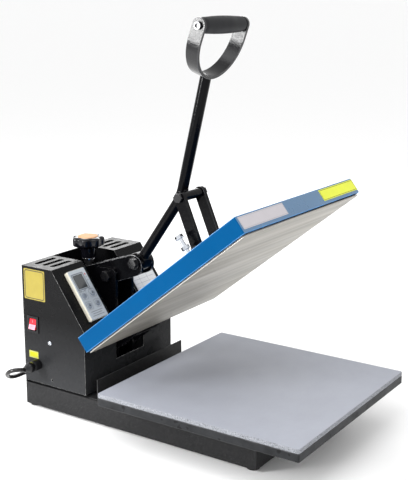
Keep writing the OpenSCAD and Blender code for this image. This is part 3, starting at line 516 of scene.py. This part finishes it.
# -------------------------------------------------------------- controller
CH = 9.0
dress("controller_body", "frame", ["cream"], 0.0009, 3)
dress("controller_face", "frame", ["silver"], 0.0003, 2)
dress("display_window", "frame", ["lcd"], 0.0004, 2)
dress("status_lamp", "frame", ["lamp"], 0.0004, 3)
b = Build(["lcd_frame", "print"])
b.ring(shift(rr(31, 32, 1.6), -85, -37.5), shift(rr(27.4, 28.4, 0.6), -85, -37.5), CH - 0.05, CH + 0.02, "lcd_frame")
for x, s, w, h in ((-97, 55.2, 8, 0.9), (-85, 55.2, 6, 0.9), (-72, 55.2, 8, 0.9), (-66, 33, 3.2, 0.8), (-66, 39, 3.2, 0.8)):
    b.box(x - w / 2, x + w / 2, -s - h / 2, -s + h / 2, CH - 0.05, CH + 0.02, "print")
for x, s in ((-93, 64), (-71, 64), (-93, 84), (-71, 84)):
    b.ring(shift(rr(15.4, 15.4, 3.2), x, -s), shift(rr(14.6, 14.6, 2.8), x, -s), CH - 0.05, CH + 0.02, "print")
for x, s, w in ((-82.2, 96.5, 30), (-82.2, 100.5, 24), (-82.2, 104.5, 30)):
    b.box(x - w / 2, x + w / 2, -s - 0.35, -s + 0.35, CH - 0.05, CH + 0.02, "print")
b.make("vis_controller_print", SLOPE, "frame", "controller_silver")
KEYS = (("key_set", "key_a", -93, 64, "ring"), ("key_down", "key_b", -71, 64, "down"), ("key_up", "key_c", -93, 84, "up"), ("key_menu", "key_d", -71, 84, "bars"))
for node, body, x, s, sign in KEYS:
    b = Build(["key", "print"])
    b.lathe([(5.4, -3.4), (5.4, 0.3), (5.15, 0.75), (4.7, 1.05), (3.6, 1.2), (1.5, 1.2)], "key", 48)
    if sign == "ring":
        b.ring(rr(4.6, 4.6, 2.28, 10), rr(3.4, 3.4, 1.68, 10), 1.1, 1.24, "print")
    elif sign == "bars":
        for q in (-1.5, 0, 1.5):
            b.box(-2.2, 2.2, q - 0.3, q + 0.3, 1.1, 1.24, "print")
    else:
        k = 1 if sign == "up" else -1
        tri = [(-2.4, -1.6 * k), (2.4, -1.6 * k), (0, 2.2 * k)]
        b.prism(tri if k > 0 else tri[::-1], 1.1, 1.24, "print")
    b.make("vis_" + node, SLOPE @ Matrix.Translation((x, -s, CH)), body, "key_grey", [node])

# rocker: the CAD surface with softened edges, a painted reflection in pinkish white on its lower face, and its two
# generic marks


# the rocker's lower outward faces take the painted reflection
def rocker_reflection_face(c, n):
    return 1 if n.x < -0.5 and c.z < 0.158 else 0


dress("switch_rocker", "rocker", ["rocker", "rocker_painted_reflection"], 0.0009, 4, choose=rocker_reflection_face)
b = Build(["mark"])
b.box(-0.6, 0.6, -2.6, 2.6, 0, 0.25, "mark")
dn = Vector((-0.945, 0, 0.328))
mk_up = Matrix.Translation(D(-BODY_H2 - 1.25, 387, 160.8)) @ Matrix(((0, 0.15, -0.98, 0), (-1, 0, 0, 0), (0, 0.98, 0.19, 0), (0, 0, 0, 1))) @ Matrix.Scale(0.001, 4)
b.make("vis_rocker_mark_on", mk_up, "rocker", "rocker_red")
b = Build(["mark"])
b.ring(rr(4.4, 4.4, 2.19, 10), rr(3.2, 3.2, 1.59, 10), 0, 0.25, "mark")
mk_lo = Matrix.Translation(D(-BODY_H2 - 4.0, 387, 149.4)) @ Matrix(((0, 0.33, -0.945, 0), (-1, 0, 0, 0), (0, 0.945, 0.33, 0), (0, 0, 0, 1))) @ Matrix.Scale(0.001, 4)
b.make("vis_rocker_mark_off", mk_lo, "rocker", "rocker_red")

# --------------------------------------------------------------- mechanism
for node in ("upright_left", "upright_right"):
    dress(node, "frame", ["gloss", "gloss_edge"], 0.0007, 3)
dress("screw_rest", "frame", ["gloss"], 0.0006, 2)
dress("upright_screws", "frame", ["zinc"], 0.0004, 2)
dress("hinge_pin", "frame", ["steel"], 0.0005, 2)
dress("arm_pivot_bolt", "frame", ["steel_black"], 0.0005, 3)
dress("pressure_arm", "arm", ["gloss", "arm_edge"], 0.0012, 3)
dress("pressure_screw", "knob", ["steel"], 0.0004, 2)
dress("knob_washer", "knob", ["chrome"], 0.0006, 3)

b = Build(["knob"])
lobes, ro, rin = 7, 30.5, 26.0


def lobe(t, r, z):
    if z < 21.6:
        return 0.0
    k = min(1.0, (z - 21.6) / 2.2)
    c = 0.5 + 0.5 * math.cos(lobes * t)
    return -(ro - rin) * k * (1 - c)


prof = [(13.2, 0), (13.8, 0.6), (13.8, 15), (14.4, 18.8), (18, 21.2), (25.4, 22.2), (28.9, 23.6), (30.1, 25.4), (30.5, 28), (30.5, 34.6), (30.1, 36.8), (28.8, 38.6), (25.8, 39.8), (21.9, 40.0), (19.1, 39.7), (19.0, 38.0)]
b.lathe(prof, "knob", 140, squeeze=lambda t, r, z: lobe(t, r, z) * (1 if r > 22 else max(0.0, (r - 19.0) / 3.0)))
b.make("vis_pressure_knob", ROW @ Matrix.Translation((0, 363, 256)), "knob", "knob_black", ["pressure_knob"], 0.0, sharp=45)
b = Build(["cap"])
b.lathe([(18.8, 0), (18.8, 2.9), (18.4, 3.7), (17.4, 4.2), (14.5, 4.55), (10, 4.8), (5, 4.95), (1.5, 5.0)], "cap", 72)
b.make("vis_knob_cap", ROW @ Matrix.Translation((0, 363, 293)), "knob", "knob_cap", ["knob_cap"], 0.0, sharp=60)

# ------------------------------------------------------------------- lever
dress("lever_tube", "lever", ["gloss"], 0.0006, 2, dissolve=False)
dress("lever_hub", "lever", ["gloss"], 0.001, 3)
dress("lever_pivot_bolt", "lever", ["steel_black"], 0.0006, 3)
dress("knee_tube", "lever", ["gloss"], 0.0007, 3)
dress("knee_bolt", "lever", ["steel_black"], 0.0006, 3)
dress("handle_bow", "lever", ["bow", "gloss_edge"], 0.0007, 3)
dress("handle_grip", "grip", ["grip"], 0.0008, 3, dissolve=False)
dress("grip_bolt", "lever", ["steel"], 0.0007, 3)
for node in ("link_left", "link_right", "link_end_bolts"):
    dress(node, "links", ["gloss" if node != "link_end_bolts" else "steel_black", "gloss_edge" if node != "link_end_bolts" else "steel_black"], 0.0008, 3)

# ------------------------------------------------------------------ platen
cover_front = (PLATEN.to_3x3() @ Vector((0, -1, 0))).normalized()


# the cover's front-facing faces take the painted-sheen copy of the blue
def cover_sheen_face(c, n):
    return 1 if n.dot(cover_front) > 0.8 else 0


cover = dress("platen_cover", "platen", ["blue", "blue_front_painted_sheen", "blue_edge"], 0.0012, 4, choose=cover_sheen_face)
# the cover's bevels take blue_edge, the painted highlight
cover.modifiers["bevel"].material = 2
down = (PLATEN.to_3x3() @ Vector((0, 0, -1))).normalized()


def heat_face(c, n):
    return 1 if n.dot(down) > 0.8 else 0


dress("heating_plate", "platen", ["alu", "alu_face"], 0.0009, 3, choose=heat_face)
dress("hinge_arms", "platen", ["gloss", "gloss_edge"], 0.0007, 3)
dress("platen_bracket", "platen", ["gloss", "gloss_edge"], 0.0008, 3)
dress("bracket_bolts", "platen", ["zinc"], 0.0005, 3)
dress("platen_bolt", "platen", ["zinc"], 0.0005, 3)
COVER_L = 389.6
FRONT = PLATEN @ Matrix.Translation((0, -COVER_L, 0)) @ Matrix.Rotation(math.radians(90), 4, "X")
b = Build(["white", "rule_soft"])
b.prism(rr(130, 20.6, 1.0), 0.0, 0.33, "white")
b.ring(rr(127.6, 18.2, 0.8), rr(126.6, 17.2, 0.4), 0.28, 0.36, "rule_soft")
b.make("vis_cover_label_white", FRONT @ Matrix.Translation((-121.5, 15.9, 0)), "platen", "label_film", ["cover_labels"])
b = Build(["lime", "rule"])
b.prism(rr(124, 20.6, 1.0), 0.0, 0.33, "lime")
b.ring(rr(121.4, 18.0, 0.8), rr(120.0, 16.6, 0.3), 0.28, 0.36, "rule")
b.make("vis_cover_label_yellow", FRONT @ Matrix.Translation((126.5, 15.9, 0)), "platen", "label_film")

repaint("heating_element", "element")
repaint("insulation_board", "board")
repaint("relay_block", "moulded")
repaint("terminal_block", "terminal")

# ------------------------------------------------------------------- stage
fme = bpy.data.meshes.new("floor")
fme.from_pydata([(-600, -600, 0), (600, -600, 0), (600, 600, 0), (-600, 600, 0)], [], [(0, 1, 2, 3)])
floor = bpy.data.objects.new("floor", fme)
scene.collection.objects.link(floor)
fm = bpy.data.materials.new("studio_floor")
fm.use_nodes = True
fb = fm.node_tree.nodes["Principled BSDF"]
fb.inputs["Base Color"].default_value = (0.96, 0.96, 0.96, 1)
fb.inputs["Roughness"].default_value = 0.75
fb.inputs["Specular IOR Level"].default_value = 0.1
fme.materials.append(fm)

world = bpy.data.worlds.new("studio")
scene.world = world
world.use_nodes = True
bg = world.node_tree.nodes["Background"]
bg.inputs["Color"].default_value = (1, 1, 1, 1)
bg.inputs["Strength"].default_value = 1.0


def softbox(name, pos, aim, sx, sy, watts, color=(1, 1, 1)):
    d = bpy.data.lights.new(name, "AREA")
    d.shape = "RECTANGLE"
    d.size, d.size_y = sx, sy
    d.energy = watts
    d.color = color
    o = bpy.data.objects.new(name, d)
    scene.collection.objects.link(o)
    o.location = pos
    o.rotation_euler = (Vector(aim) - Vector(pos)).to_track_quat("-Z", "Y").to_euler()
    return o


softbox("top_box", (-1.3, -0.1, 2.1), (0, 0, 0.1), 1.6, 1.6, 20)
softbox("rear_left_box", (-1.25, 0.85, 0.72), (0, 0, 0.5), 0.36, 0.6, 22)
softbox("front_box", (0.2, -2.6, 1.3), (0, 0, 0.2), 2.2, 1.4, 4)
softbox("rear_right_box", (1.8, 1.45, 1.0), (0, 0.2, 0.25), 1.8, 0.6, 14)
softbox("back_box", (-0.4, 1.9, 2.2), (0, 0.1, 0.3), 1.4, 0.4, 6)
